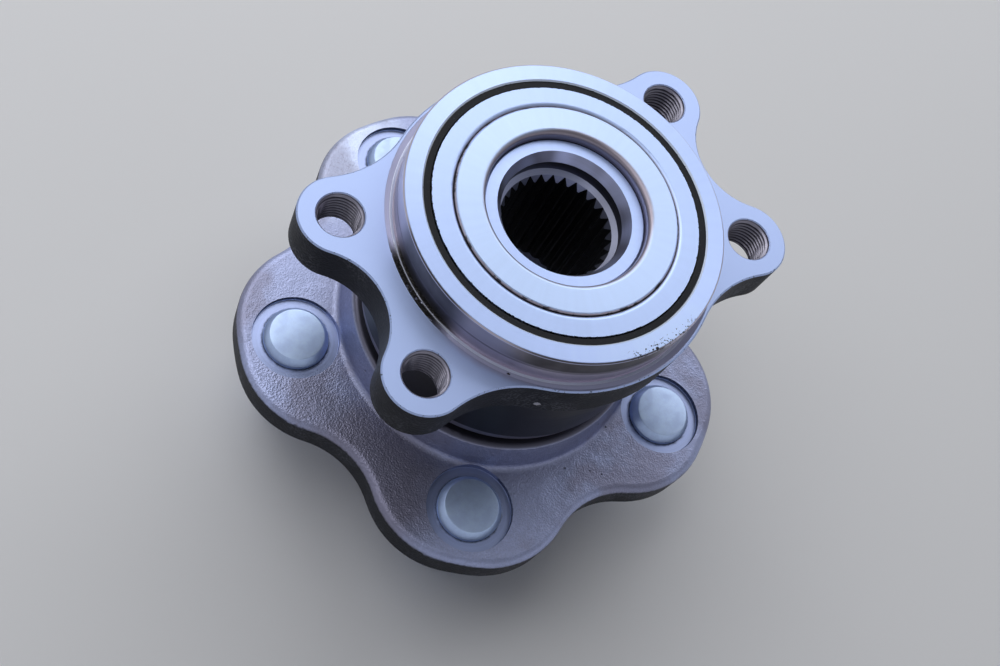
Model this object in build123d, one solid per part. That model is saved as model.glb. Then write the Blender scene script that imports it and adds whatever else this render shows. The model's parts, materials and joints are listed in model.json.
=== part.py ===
"""Driven wheel hub bearing: a flanged hub turning on two rows of balls in a flanged outer ring.

Units are millimetres and degrees. The origin is the centre of the wheel-stud circle on the wheel
mounting face. +Z runs along the hub axis from the wheel side (outboard) to the knuckle side
(inboard), and +X lies along the long side of the knuckle bolt rectangle.
"""

from build123d import *

import math
import os

# ---------------------------------------------------------------- wheel flange and studs
STUD_CIRCLE_D = 114.3
STUD_COUNT = 5
STUD_PHASE = 18.9  # angle of the first stud from +X
WHEEL_FLANGE_T = 11.0
LOBE_MARGIN = 15.85  # stud axis to the outermost edge of its lobe
LOBE_CORNER_R = 26.5  # convex shoulder of each lobe
LOBE_TIP_ANGLE = 3.72  # half of the stretch of each lobe that is round about the hub axis
LOBE_DEPTH = 13.6  # hollow between two lobes, below their tips
WHEEL_FLANGE_TOP_ROUND = 2.4
WHEEL_FLANGE_FACE_ROUND = 1.2
SPOTFACE_D = 24.6
SPOTFACE_DEPTH = 1.5
FACE_RELIEF_WIDTH = 8.0  # shallow turned band on the mounting face, beside the pilot
FACE_RELIEF_DEPTH = 0.5

STUD_SHANK_D = 12.9
STUD_SHANK_INSET = 0.05  # thread's start, inside the mounting face
STUD_THREAD_D = 12.0
STUD_REACH = 33.0  # past the mounting face
STUD_HEAD_D = 18.2
STUD_HEAD_FLAT_D = 14.7
STUD_HEAD_H = 3.6
STUD_HEAD_BEVEL_H = 2.3
STUD_TIP_D = 9.4
STUD_TIP_H = 2.6

# ---------------------------------------------------------------- hub body
BOSS_TOP_D = 84.4
BOSS_FLARE = 2.6  # foot wider than the top, on each side
BOSS_H = 10.0
BOSS_FOOT_ROUND = 2.0
BOSS_TOP_ROUND = 1.6
WHEEL_PILOT_D = 66.0
WHEEL_PILOT_H = 8.0
WHEEL_PILOT_LEAD = 1.2
WHEEL_PILOT_WALL = 6.5  # pilot's wall round the nut recess
NUT_SEAT_Z = 9.0  # nut seat above the mounting face
NUT_RECESS_ROUND = 3.0
SPINDLE_RIM_W = 3.5  # face left round the bore's mouth
SPINDLE_EDGE = 0.5
SPINDLE_INSET = 2.85  # spindle end below the inner ring's face
SEAL_LAND_ROUND = 2.2

# ---------------------------------------------------------------- splined bore
SPLINE_TEETH = 29
SPLINE_MODULE = 1.0
SPLINE_TOOTH_H = 1.1
SPLINE_ROOT_WIDTH = 0.3
SPLINE_TIP_WIDTH = 0.45
SPLINE_LENGTH = 40.0
SPLINE_FACE_INSET = 7.3  # spline face below the spindle end
SPLINE_FACE_SLOPE = 0.8  # rise of the face from the roots to the undercut
SPLINE_LEAD_H = 1.8  # length of the bevel on the tooth tips
BORE_THROAT_GAP = 1.05  # throat round the spline's roots
BORE_MOUTH_FLARE = 1.65  # mouth wider than the throat, on each side
BORE_MOUTH_H = 2.8
BORE_THROAT_H = 1.4
BORE_UNDERCUT = 0.4
BORE_RELIEF_GAP = 0.35  # bore past the spline, round its roots
BORE_RELIEF_LEAD = 1.0

# ---------------------------------------------------------------- balls and raceways
BALL_D = 11.1125
BALL_COUNT = 15
ROW_PITCH = 22.0
CONTACT_ANGLE = 36.0
GROOVE_CONFORMITY = 0.52  # groove radius as a share of the ball diameter
BALL_CLEARANCE = 0.08
OUTBOARD_ROW_INSET = 17.5  # outer ring's outboard end to the first row
INBOARD_ROW_INSET = 17.0  # second row to the outer ring's inboard end
RING_WALL = 5.75  # inner ring's wall under its low shoulder
INNER_SHOULDER_DROP = 2.55  # inner raceways' high shoulders below the ball circle
INNER_LOW_DROP = 4.75  # their low shoulders, where hub and inner ring meet
OUTER_SHOULDER_RISE = 3.35  # land between the outer raceways, above the ball circle
OUTER_BORE_RISE = 5.2  # outer ring's two end bores, above the ball circle
RING_SEAT_DROP = 10.5  # inner ring's seat below the second row
RING_PROUD = 0.15  # inner ring's face above the outer ring's
RING_EDGE = 0.5
RING_BORE_ROUND = 1.4

CAGE_LAND_GAP = 1.0  # cage bore round the high shoulder
CAGE_T = 3.6
CAGE_PRONG_H = 1.9
POCKET_CLEARANCE = 0.2
CAGE_RIM_GAP = 0.9  # rim past the top of the pockets

# ---------------------------------------------------------------- outer ring
SPIGOT_WALL = 5.05  # round the seal's bore
SPIGOT_H = 10.7
SPIGOT_EDGE = 0.5
SEAL_BORE_EDGE = 0.4
BODY_WALL = 5.65
BODY_H = 12.0
BODY_ROUND = 1.2
NOSE_WALL = 4.55
NOSE_RIM_STEP = 0.8  # turned rim at the outboard end, below the nose
NOSE_RIM_H = 3.6
NOSE_EDGE = 0.5
OUTBOARD_GAP = 2.5  # boss top to the outer ring's outboard end
GROOVE_W = 2.2  # relief groove round the foot of the spigot
GROOVE_DEPTH = 0.8
GROOVE_FLOOR_W = 1.1
GROOVE_UNDERCUT = 0.45
GROOVE_RISE = 0.9

EAR_T = 12.3
EAR_R = 10.8
EAR_CIRCLE_D = 110.0
EAR_ANGLE = 24.0  # each ear from the X axis
EAR_VALLEY_DEPTH = 4.5  # hollow between a pair of ears, below their circle
EAR_BLEND_R = 28.0
KNUCKLE_RIM_W = 3.0  # flange left round the spigot
KNUCKLE_EDGE = 0.4
EAR_THREAD_D = 12.0  # nominal size, at which each tapped hole is left plain
EAR_SINK = 0.3  # countersink round each hole

# ---------------------------------------------------------------- seals
SEAL_SHEET = 0.8
SEAL_DEPTH = 7.4  # case width along the axis
SEAL_INSET = 0.8  # case below the outer ring's end
SEAL_CASE_GAP = 2.8  # case's bore round the inner shoulder
LIP_WALL = 0.9
LIP_T = 0.8
LIP_CLEARANCE = 0.1
LIP_COVER = 0.3  # rubber over the case's end
SLINGER_INSET = 0.2  # slinger's face below the outer ring's end
SLINGER_GAP = 0.35  # slinger's rim to the rubber
SLINGER_SLEEVE_H = 6.6
SLINGER_BEND_R = 1.3

# ---------------------------------------------------------------- heights along the axis
BOSS_TOP_Z = WHEEL_FLANGE_T + BOSS_H
OUTBOARD_END_Z = BOSS_TOP_Z + OUTBOARD_GAP
OUTBOARD_ROW_Z = OUTBOARD_END_Z + OUTBOARD_ROW_INSET
INBOARD_ROW_Z = OUTBOARD_ROW_Z + ROW_PITCH
INBOARD_END_Z = INBOARD_ROW_Z + INBOARD_ROW_INSET
KNUCKLE_FACE_Z = INBOARD_END_Z - SPIGOT_H
KNUCKLE_BACK_Z = KNUCKLE_FACE_Z - EAR_T
BODY_STEP_Z = KNUCKLE_BACK_Z - BODY_H
RING_SEAT_Z = INBOARD_ROW_Z - RING_SEAT_DROP
RING_FACE_Z = INBOARD_END_Z + RING_PROUD
SPINDLE_END_Z = RING_FACE_Z - SPINDLE_INSET
SPLINE_FACE_Z = SPINDLE_END_Z - SPLINE_FACE_INSET
SPLINE_END_Z = SPLINE_FACE_Z - SPLINE_LENGTH

# ---------------------------------------------------------------- sizes across the axis
WHEEL_FLANGE_D = STUD_CIRCLE_D + 2 * LOBE_MARGIN
BOSS_FOOT_D = BOSS_TOP_D + 2 * BOSS_FLARE
NUT_RECESS_D = WHEEL_PILOT_D - 2 * WHEEL_PILOT_WALL
SPLINE_ROOT_D = SPLINE_MODULE * SPLINE_TEETH + SPLINE_TOOTH_H
SPLINE_TIP_D = SPLINE_MODULE * SPLINE_TEETH - SPLINE_TOOTH_H
BORE_THROAT_D = SPLINE_ROOT_D + 2 * BORE_THROAT_GAP
BORE_MOUTH_D = BORE_THROAT_D + 2 * BORE_MOUTH_FLARE
BORE_UNDERCUT_D = BORE_THROAT_D + 2 * BORE_UNDERCUT
BORE_RELIEF_D = SPLINE_ROOT_D + 2 * BORE_RELIEF_GAP
SPINDLE_D = BORE_MOUTH_D + 2 * SPINDLE_RIM_W
INNER_LOW_LAND_D = SPINDLE_D + 2 * RING_WALL
BALL_CIRCLE_D = INNER_LOW_LAND_D + 2 * INNER_LOW_DROP
INNER_LAND_D = BALL_CIRCLE_D - 2 * INNER_SHOULDER_DROP
OUTER_LAND_D = BALL_CIRCLE_D + 2 * OUTER_SHOULDER_RISE
SEAL_BORE_D = BALL_CIRCLE_D + 2 * OUTER_BORE_RISE
CAGE_BORE_D = INNER_LAND_D + 2 * CAGE_LAND_GAP
CAGE_D = CAGE_BORE_D + 2 * CAGE_T
CASE_BORE_D = INNER_LAND_D + 2 * SEAL_CASE_GAP
SPIGOT_D = SEAL_BORE_D + 2 * SPIGOT_WALL
BODY_D = SEAL_BORE_D + 2 * BODY_WALL
NOSE_D = SEAL_BORE_D + 2 * NOSE_WALL
NOSE_RIM_D = NOSE_D - 2 * NOSE_RIM_STEP
KNUCKLE_RIM_D = SPIGOT_D + 2 * KNUCKLE_RIM_W
EAR_VALLEY_R = EAR_CIRCLE_D / 2 - EAR_VALLEY_DEPTH
GROOVE_R = GROOVE_CONFORMITY * BALL_D
GROOVE_SHIFT = GROOVE_R - BALL_D / 2 - BALL_CLEARANCE  # groove centre off the ball centre

OVERCUT = 1.0  # how far a cutting shape runs past the face that it cuts
SAME = 0.01  # sizes closer than this are one size, when an edge is looked up


# ---------------------------------------------------------------- shared shapes
def turned(*points):
    """Solid of revolution about the hub axis from (radius, z) points."""
    return revolve(make_face(Plane.XZ * Polyline(*points, close=True)), Axis.Z)


def tube(outer_d, inner_d, low_z, high_z):
    """Plain ring between two heights."""
    outer, inner = outer_d / 2, inner_d / 2
    return turned((inner, low_z), (outer, low_z), (outer, high_z), (inner, high_z))


def polar(radius, angle):
    """Point on the XY plane."""
    turn = math.radians(angle)
    return Vector(radius * math.cos(turn), radius * math.sin(turn))


def opening_angle(side_a, side_b, far_side):
    """Angle in degrees between two sides of a triangle, from its three sides."""
    cosine = (side_a**2 + side_b**2 - far_side**2) / (2 * side_a * side_b)
    return math.degrees(math.acos(cosine))


def contact_point(circle, other):
    """Where two touching circles (centre, radius, hollow) meet."""
    centre, radius, hollow = circle
    far_centre, far_radius, far_hollow = other
    towards = (far_centre - centre).normalized()
    inside = hollow == far_hollow and radius < far_radius
    return centre + towards * (-radius if inside else radius)


def arc_outline(circles):
    """Closed face bounded by a counter-clockwise ring of circles, each touching the next.

    A circle is (centre, radius, hollow): hollow ones bow inwards and are walked clockwise.
    """
    arcs = []
    for index, circle in enumerate(circles):
        centre, radius, hollow = circle
        start = contact_point(circle, circles[index - 1])
        end = contact_point(circle, circles[(index + 1) % len(circles)])
        first = math.atan2(start.Y - centre.Y, start.X - centre.X)
        last = math.atan2(end.Y - centre.Y, end.X - centre.X)
        sweep = (last - first) % (2 * math.pi)
        if hollow:
            sweep -= 2 * math.pi
        middle = centre + polar(radius, math.degrees(first + sweep / 2))
        arcs.append(ThreePointArc(start, middle, end))
    return make_face(Wire(arcs))


def circle_edges(shape, radius, height):
    """Full circular edges of a shape about the hub axis, by radius and height."""
    return [
        edge
        for edge in shape.edges().filter_by(GeomType.CIRCLE)
        if abs(edge.radius - radius) < SAME
        and abs(edge.arc_center.Z - height) < SAME
        and math.hypot(edge.arc_center.X, edge.arc_center.Y) < SAME
    ]


def raceway(row_z, radial, axial):
    """Ring that cuts a ball groove touched in the direction (radial, axial), each +1 or -1."""
    lean = math.radians(CONTACT_ANGLE)
    centre_r = BALL_CIRCLE_D / 2 - radial * GROOVE_SHIFT * math.cos(lean)
    centre_z = row_z - axial * GROOVE_SHIFT * math.sin(lean)
    return Pos(0, 0, centre_z) * Torus(centre_r, GROOVE_R)


# ---------------------------------------------------------------- hub
def wheel_flange():
    """Plate with a lobe round each stud, its edges rounded.

    The hollow between two lobes is the one circle that passes through the valley and touches
    the lobes' corner circles on both sides.
    """
    rim_r = WHEEL_FLANGE_D / 2
    step = 360 / STUD_COUNT
    reach = rim_r - LOBE_CORNER_R
    valley = rim_r - LOBE_DEPTH
    along = reach * math.cos(math.radians(step / 2 - LOBE_TIP_ANGLE))
    excess = LOBE_CORNER_R**2 - reach**2 - valley**2 + 2 * along * valley
    waist_r = excess / (2 * (valley - along - LOBE_CORNER_R))
    circles = []
    for index in range(STUD_COUNT):
        lobe = STUD_PHASE + index * step
        circles += [
            (Vector(0, 0), rim_r, False),
            (polar(reach, lobe + LOBE_TIP_ANGLE), LOBE_CORNER_R, False),
            (polar(valley + waist_r, lobe + step / 2), waist_r, True),
            (polar(reach, lobe + step - LOBE_TIP_ANGLE), LOBE_CORNER_R, False),
        ]
    plate = extrude(arc_outline(circles), WHEEL_FLANGE_T)
    plate = fillet(plate.faces().sort_by(Axis.Z)[-1].edges(), WHEEL_FLANGE_TOP_ROUND)
    return fillet(plate.faces().sort_by(Axis.Z)[0].edges(), WHEEL_FLANGE_FACE_ROUND)


def hub_core():
    """Turned boss, seal land, raceway lands, spindle and wheel pilot, without the bore."""
    land_r = INNER_LAND_D / 2
    low_r = INNER_LOW_LAND_D / 2
    spindle_r = SPINDLE_D / 2
    pilot_r = WHEEL_PILOT_D / 2
    core = turned(
        (0, -WHEEL_PILOT_H),
        (pilot_r - WHEEL_PILOT_LEAD, -WHEEL_PILOT_H),
        (pilot_r, -WHEEL_PILOT_H + WHEEL_PILOT_LEAD),
        (pilot_r, FACE_RELIEF_DEPTH),
        (BOSS_FOOT_D / 2, FACE_RELIEF_DEPTH),
        (BOSS_FOOT_D / 2, WHEEL_FLANGE_T),
        (BOSS_TOP_D / 2, BOSS_TOP_Z),
        (land_r, BOSS_TOP_Z),
        (land_r, OUTBOARD_ROW_Z),
        (low_r, OUTBOARD_ROW_Z),
        (low_r, RING_SEAT_Z),
        (spindle_r, RING_SEAT_Z),
        (spindle_r, SPINDLE_END_Z - SPINDLE_EDGE),
        (spindle_r - SPINDLE_EDGE, SPINDLE_END_Z),
        (0, SPINDLE_END_Z),
    )
    core = fillet(circle_edges(core, BOSS_TOP_D / 2, BOSS_TOP_Z), BOSS_TOP_ROUND)
    core = fillet(circle_edges(core, land_r, BOSS_TOP_Z), SEAL_LAND_ROUND)
    return core - raceway(OUTBOARD_ROW_Z, -1, -1)


def hub_bore():
    """Everything turned out of the middle of the hub, down to the tips of the spline."""
    mouth_z = SPINDLE_END_Z - BORE_MOUTH_H
    undercut_z = mouth_z - BORE_THROAT_H
    face_z = SPLINE_FACE_Z + SPLINE_FACE_SLOPE
    relief_r = BORE_RELIEF_D / 2
    bore = turned(
        (0, -WHEEL_PILOT_H - OVERCUT),
        (NUT_RECESS_D / 2, -WHEEL_PILOT_H - OVERCUT),
        (NUT_RECESS_D / 2, NUT_SEAT_Z),
        (relief_r + BORE_RELIEF_LEAD, NUT_SEAT_Z),
        (relief_r, NUT_SEAT_Z + BORE_RELIEF_LEAD),
        (relief_r, SPLINE_END_Z),
        (SPLINE_TIP_D / 2, SPLINE_END_Z + BORE_RELIEF_LEAD),
        (SPLINE_TIP_D / 2, SPLINE_FACE_Z - SPLINE_LEAD_H),
        (SPLINE_ROOT_D / 2, SPLINE_FACE_Z),
        (BORE_UNDERCUT_D / 2, face_z),
        (BORE_UNDERCUT_D / 2, undercut_z),
        (BORE_THROAT_D / 2, undercut_z),
        (BORE_THROAT_D / 2, mouth_z),
        (BORE_MOUTH_D / 2, SPINDLE_END_Z),
        (BORE_MOUTH_D / 2, SPINDLE_END_Z + OVERCUT),
        (0, SPINDLE_END_Z + OVERCUT),
    )
    return fillet(circle_edges(bore, NUT_RECESS_D / 2, NUT_SEAT_Z), NUT_RECESS_ROUND)


def spline_spaces():
    """Prism of the spaces between the teeth of the internal spline."""
    root_r, tip_r = SPLINE_ROOT_D / 2, SPLINE_TIP_D / 2
    pitch = 360 / SPLINE_TEETH
    root_half = math.degrees(SPLINE_ROOT_WIDTH / 2 / root_r)
    tip_half = pitch / 2 - math.degrees(SPLINE_TIP_WIDTH / 2 / tip_r)
    edges = []
    for index in range(SPLINE_TEETH):
        space = index * pitch
        corners = [
            polar(tip_r, space - tip_half),
            polar(root_r, space - root_half),
            polar(root_r, space + root_half),
            polar(tip_r, space + tip_half),
        ]
        following = polar(tip_r, space + pitch - tip_half)
        edges += [
            Line(corners[0], corners[1]),
            ThreePointArc(corners[1], polar(root_r, space), corners[2]),
            Line(corners[2], corners[3]),
            ThreePointArc(corners[3], polar(tip_r, space + pitch / 2), following),
        ]
    prism = extrude(make_face(Wire(edges)), SPLINE_FACE_Z + SPLINE_FACE_SLOPE - SPLINE_END_Z)
    return Pos(0, 0, SPLINE_END_Z) * prism


def stud_places():
    """Where the studs stand on the mounting face."""
    step = 360 / STUD_COUNT
    return [Pos(*polar(STUD_CIRCLE_D / 2, STUD_PHASE + i * step)) for i in range(STUD_COUNT)]


def hub():
    """Forged flange and boss with a ground spindle and a splined bore."""
    body = wheel_flange() + hub_core()
    body = fillet(circle_edges(body, BOSS_FOOT_D / 2, WHEEL_FLANGE_T), BOSS_FOOT_ROUND)
    body -= hub_bore()
    body -= spline_spaces()
    relief_d = WHEEL_PILOT_D + 2 * FACE_RELIEF_WIDTH
    body -= tube(relief_d, WHEEL_PILOT_D, -OVERCUT, FACE_RELIEF_DEPTH)
    spotface = Cylinder(SPOTFACE_D / 2, BOSS_H, align=(Align.CENTER, Align.CENTER, Align.MIN))
    hole = Cylinder(STUD_SHANK_D / 2, 3 * WHEEL_FLANGE_T)
    for place in stud_places():
        body -= place * Pos(0, 0, WHEEL_FLANGE_T - SPOTFACE_DEPTH) * spotface
        body -= place * hole
    return body


def wheel_stud():
    """Pressed-in stud on its own axis, head inboard."""
    seat_z = WHEEL_FLANGE_T - SPOTFACE_DEPTH
    head_z = seat_z + STUD_HEAD_H
    shank_r, thread_r = STUD_SHANK_D / 2, STUD_THREAD_D / 2
    tip_slope = (STUD_THREAD_D - STUD_TIP_D) / 2
    return turned(
        (0, -STUD_REACH),
        (STUD_TIP_D / 2, -STUD_REACH),
        (STUD_TIP_D / 2, -STUD_REACH + STUD_TIP_H),
        (thread_r, -STUD_REACH + STUD_TIP_H + tip_slope),
        (thread_r, STUD_SHANK_INSET),
        (shank_r, STUD_SHANK_INSET + shank_r - thread_r),
        (shank_r, seat_z),
        (STUD_HEAD_D / 2, seat_z),
        (STUD_HEAD_D / 2, head_z - STUD_HEAD_BEVEL_H),
        (STUD_HEAD_FLAT_D / 2, head_z),
        (0, head_z),
    )


def inner_ring():
    """Separate inboard raceway, seated on the spindle against the hub's shoulder."""
    bore_r, land_r, low_r = SPINDLE_D / 2, INNER_LAND_D / 2, INNER_LOW_LAND_D / 2
    ring = turned(
        (bore_r, RING_SEAT_Z),
        (low_r, RING_SEAT_Z),
        (low_r, INBOARD_ROW_Z),
        (land_r, INBOARD_ROW_Z),
        (land_r, RING_FACE_Z - RING_EDGE),
        (land_r - RING_EDGE, RING_FACE_Z),
        (bore_r, RING_FACE_Z),
    )
    ring = fillet(circle_edges(ring, bore_r, RING_FACE_Z), RING_BORE_ROUND)
    return ring - raceway(INBOARD_ROW_Z, -1, 1)


# ---------------------------------------------------------------- outer ring
def ear_centres():
    """Bolt positions of the knuckle flange."""
    angles = (EAR_ANGLE, 180 - EAR_ANGLE, 180 + EAR_ANGLE, -EAR_ANGLE)
    return [polar(EAR_CIRCLE_D / 2, angle) for angle in angles]


def knuckle_flange():
    """Plate of two pairs of ears, blended into a narrow rim round the spigot."""
    rim_r = KNUCKLE_RIM_D / 2
    ears = ear_centres()
    blend_reach = rim_r + EAR_BLEND_R
    blend_lead = opening_angle(EAR_CIRCLE_D / 2, blend_reach, EAR_R + EAR_BLEND_R)
    inset = EAR_VALLEY_R - ears[0].X
    waist_r = (inset**2 + ears[0].Y ** 2 - EAR_R**2) / (2 * (EAR_R - inset))
    rim = (Vector(0, 0), rim_r, False)
    circles = []
    for side, (first, second) in ((0, (3, 0)), (180, (1, 2))):
        circles += [
            (polar(blend_reach, side - EAR_ANGLE - blend_lead), EAR_BLEND_R, True),
            (ears[first], EAR_R, False),
            (polar(EAR_VALLEY_R + waist_r, side), waist_r, True),
            (ears[second], EAR_R, False),
            (polar(blend_reach, side + EAR_ANGLE + blend_lead), EAR_BLEND_R, True),
            rim,
        ]
    plate = extrude(arc_outline(circles), EAR_T)
    plate = chamfer(plate.faces().sort_by(Axis.Z)[-1].edges(), KNUCKLE_EDGE)
    return Pos(0, 0, KNUCKLE_BACK_Z) * plate


def ear_hole():
    """Tapped hole at its nominal size, countersunk at both faces."""
    radius = EAR_THREAD_D / 2
    wide_r = radius + EAR_SINK + OVERCUT
    return turned(
        (0, KNUCKLE_BACK_Z - OVERCUT),
        (wide_r, KNUCKLE_BACK_Z - OVERCUT),
        (radius, KNUCKLE_BACK_Z + EAR_SINK),
        (radius, KNUCKLE_FACE_Z - EAR_SINK),
        (wide_r, KNUCKLE_FACE_Z + OVERCUT),
        (0, KNUCKLE_FACE_Z + OVERCUT),
    )


def outer_ring():
    """Spigot, knuckle flange and nose in one forging, with both outer raceways."""
    spigot_r, body_r, nose_r, rim_r = SPIGOT_D / 2, BODY_D / 2, NOSE_D / 2, NOSE_RIM_D / 2
    rim_z = OUTBOARD_END_Z + NOSE_RIM_H
    body = turned(
        (0, OUTBOARD_END_Z),
        (rim_r - NOSE_EDGE, OUTBOARD_END_Z),
        (rim_r, OUTBOARD_END_Z + NOSE_EDGE),
        (rim_r, rim_z),
        (nose_r, rim_z + (nose_r - rim_r)),
        (nose_r, BODY_STEP_Z - (body_r - nose_r)),
        (body_r, BODY_STEP_Z),
        (body_r, KNUCKLE_FACE_Z - GROOVE_DEPTH),
        (spigot_r, KNUCKLE_FACE_Z - GROOVE_DEPTH),
        (spigot_r, INBOARD_END_Z - SPIGOT_EDGE),
        (spigot_r - SPIGOT_EDGE, INBOARD_END_Z),
        (0, INBOARD_END_Z),
    )
    body += knuckle_flange()
    body = fillet(circle_edges(body, body_r, KNUCKLE_BACK_Z), BODY_ROUND)
    floor_z = KNUCKLE_FACE_Z - GROOVE_DEPTH
    rise_z = KNUCKLE_FACE_Z + GROOVE_RISE
    body -= turned(
        (spigot_r - GROOVE_UNDERCUT, floor_z),
        (spigot_r - GROOVE_UNDERCUT + GROOVE_FLOOR_W, floor_z),
        (spigot_r + GROOVE_W, KNUCKLE_FACE_Z),
        (spigot_r + GROOVE_W, rise_z),
        (spigot_r, rise_z),
        (spigot_r - GROOVE_UNDERCUT, rise_z - GROOVE_UNDERCUT),
    )
    for centre in ear_centres():
        body -= Pos(centre.X, centre.Y) * ear_hole()
    seal_r, land_r = SEAL_BORE_D / 2, OUTER_LAND_D / 2
    body -= turned(
        (0, OUTBOARD_END_Z - OVERCUT),
        (seal_r + SEAL_BORE_EDGE + OVERCUT, OUTBOARD_END_Z - OVERCUT),
        (seal_r, OUTBOARD_END_Z + SEAL_BORE_EDGE),
        (seal_r, OUTBOARD_ROW_Z),
        (land_r, OUTBOARD_ROW_Z),
        (land_r, INBOARD_ROW_Z),
        (seal_r, INBOARD_ROW_Z),
        (seal_r, INBOARD_END_Z - SEAL_BORE_EDGE),
        (seal_r + SEAL_BORE_EDGE + OVERCUT, INBOARD_END_Z + OVERCUT),
        (0, INBOARD_END_Z + OVERCUT),
    )
    body -= raceway(OUTBOARD_ROW_Z, 1, 1)
    return body - raceway(INBOARD_ROW_Z, 1, -1)


# ---------------------------------------------------------------- cages and balls
def ball_places(row_z):
    """Ball centres of one row."""
    step = 360 / BALL_COUNT
    return [Pos(*polar(BALL_CIRCLE_D / 2, i * step)) * Pos(0, 0, row_z) for i in range(BALL_COUNT)]


def cage(row_z, side):
    """Snap-in crown cage whose rim lies on the side (+1 or -1) away from the other row."""
    pocket_r = BALL_D / 2 + POCKET_CLEARANCE
    rim_z = row_z + side * (pocket_r + CAGE_RIM_GAP)
    prong_z = row_z - side * CAGE_PRONG_H
    low_z, high_z = sorted((prong_z, rim_z))
    crown = tube(CAGE_D, CAGE_BORE_D, low_z, high_z)
    for place in ball_places(row_z):
        crown -= place * Sphere(pocket_r)
    return crown


# ---------------------------------------------------------------- seals
def seal_case(end_z, side):
    """Pressed steel angle ring; side is +1 where the outer ring's end faces up."""
    wall_r = SEAL_BORE_D / 2
    rim_z = end_z - side * SEAL_INSET
    back_z = rim_z - side * SEAL_DEPTH
    return turned(
        (wall_r, rim_z),
        (wall_r - SEAL_SHEET, rim_z),
        (wall_r - SEAL_SHEET, back_z + side * SEAL_SHEET),
        (CASE_BORE_D / 2, back_z + side * SEAL_SHEET),
        (CASE_BORE_D / 2, back_z),
        (wall_r, back_z),
    )


def slinger():
    """Pressed steel disc with a sleeve on the inner ring, turning with the hub."""
    sleeve_r = INNER_LAND_D / 2
    face_z = INBOARD_END_Z - SLINGER_INSET
    rim_r = SEAL_BORE_D / 2 - SEAL_SHEET - LIP_WALL - SLINGER_GAP
    disc = turned(
        (sleeve_r, face_z),
        (sleeve_r, face_z - SLINGER_SLEEVE_H),
        (sleeve_r + SEAL_SHEET, face_z - SLINGER_SLEEVE_H),
        (sleeve_r + SEAL_SHEET, face_z - SEAL_SHEET),
        (rim_r, face_z - SEAL_SHEET),
        (rim_r, face_z),
    )
    return fillet(circle_edges(disc, sleeve_r, face_z), SLINGER_BEND_R)


def inboard_lips():
    """Rubber on the inboard case: a lining, a face lip to the slinger and a lip to its sleeve."""
    wall_r = SEAL_BORE_D / 2 - SEAL_SHEET
    lining_r = wall_r - LIP_WALL
    rim_z = INBOARD_END_Z - SEAL_INSET
    floor_z = rim_z - SEAL_DEPTH + SEAL_SHEET
    base_z = floor_z + LIP_T
    disc_z = INBOARD_END_Z - SLINGER_INSET - SEAL_SHEET - LIP_CLEARANCE
    sleeve_r = INNER_LAND_D / 2 + SEAL_SHEET + LIP_CLEARANCE
    face_lip_r = (lining_r + CASE_BORE_D / 2) / 2
    return turned(
        (wall_r, floor_z),
        (wall_r, rim_z),
        (SEAL_BORE_D / 2 - LIP_CLEARANCE, rim_z),
        (SEAL_BORE_D / 2 - LIP_CLEARANCE, rim_z + LIP_COVER),
        (lining_r, rim_z + LIP_COVER),
        (lining_r, base_z),
        (face_lip_r, base_z),
        (lining_r - 2 * LIP_T, disc_z),
        (lining_r - 3 * LIP_T, disc_z),
        (face_lip_r - LIP_T, base_z),
        (CASE_BORE_D / 2, base_z),
        (sleeve_r, base_z + 2 * LIP_T),
        (sleeve_r, base_z + LIP_T),
        (CASE_BORE_D / 2 - LIP_T, floor_z),
    )


def outboard_lips():
    """Rubber on the outboard case: a lining, a lip to the boss face and a lip to the seal land."""
    wall_r = SEAL_BORE_D / 2 - SEAL_SHEET
    lining_r = wall_r - LIP_WALL
    rim_z = OUTBOARD_END_Z + SEAL_INSET
    floor_z = rim_z + SEAL_DEPTH - SEAL_SHEET
    base_z = floor_z - LIP_T
    face_z = BOSS_TOP_Z + LIP_CLEARANCE
    land_r = INNER_LAND_D / 2 + LIP_CLEARANCE
    return turned(
        (wall_r, floor_z),
        (wall_r, rim_z),
        (SEAL_BORE_D / 2 + LIP_T, face_z + LIP_T),
        (SEAL_BORE_D / 2 + LIP_T, face_z),
        (SEAL_BORE_D / 2, face_z),
        (lining_r, rim_z),
        (lining_r, base_z),
        (CASE_BORE_D / 2, base_z),
        (land_r, base_z - 2 * LIP_T),
        (land_r, base_z - LIP_T),
        (CASE_BORE_D / 2 - LIP_T, floor_z),
    )


# ---------------------------------------------------------------- assembly
def pieces():
    """Every separate piece, by node name."""
    parts = {"hub": hub(), "inner_ring": inner_ring(), "inboard_slinger": slinger()}
    for number, place in enumerate(stud_places(), start=1):
        parts[f"wheel_stud_{number}"] = place * wheel_stud()
    parts["outer_ring"] = outer_ring()
    parts["inboard_seal_case"] = seal_case(INBOARD_END_Z, 1)
    parts["inboard_seal_lips"] = inboard_lips()
    parts["outboard_seal_case"] = seal_case(OUTBOARD_END_Z, -1)
    parts["outboard_seal_lips"] = outboard_lips()
    for row, row_z, side in (("outboard", OUTBOARD_ROW_Z, -1), ("inboard", INBOARD_ROW_Z, 1)):
        parts[f"{row}_cage"] = cage(row_z, side)
        for number, place in enumerate(ball_places(row_z), start=1):
            parts[f"{row}_ball_{number:02d}"] = place * Sphere(BALL_D / 2)
    return parts


os.makedirs("parts", exist_ok=True)
for name, shape in pieces().items():
    export_step(shape, f"parts/{name}.step")
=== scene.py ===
"""Driven wheel hub bearing, dressed: forged hub, ground rings, threaded studs, seals and stage.

Sizes, finishes and meshes are worked out in millimetres, from the centre of the wheel face. Only what
Blender places is in metres: objects, lamps, the floor and the camera.
"""

import json
import math

import bmesh
import bpy
from bpy.props import FloatProperty, FloatVectorProperty, IntProperty, PointerProperty
from mathutils import Matrix, Quaternion, Vector


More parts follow.
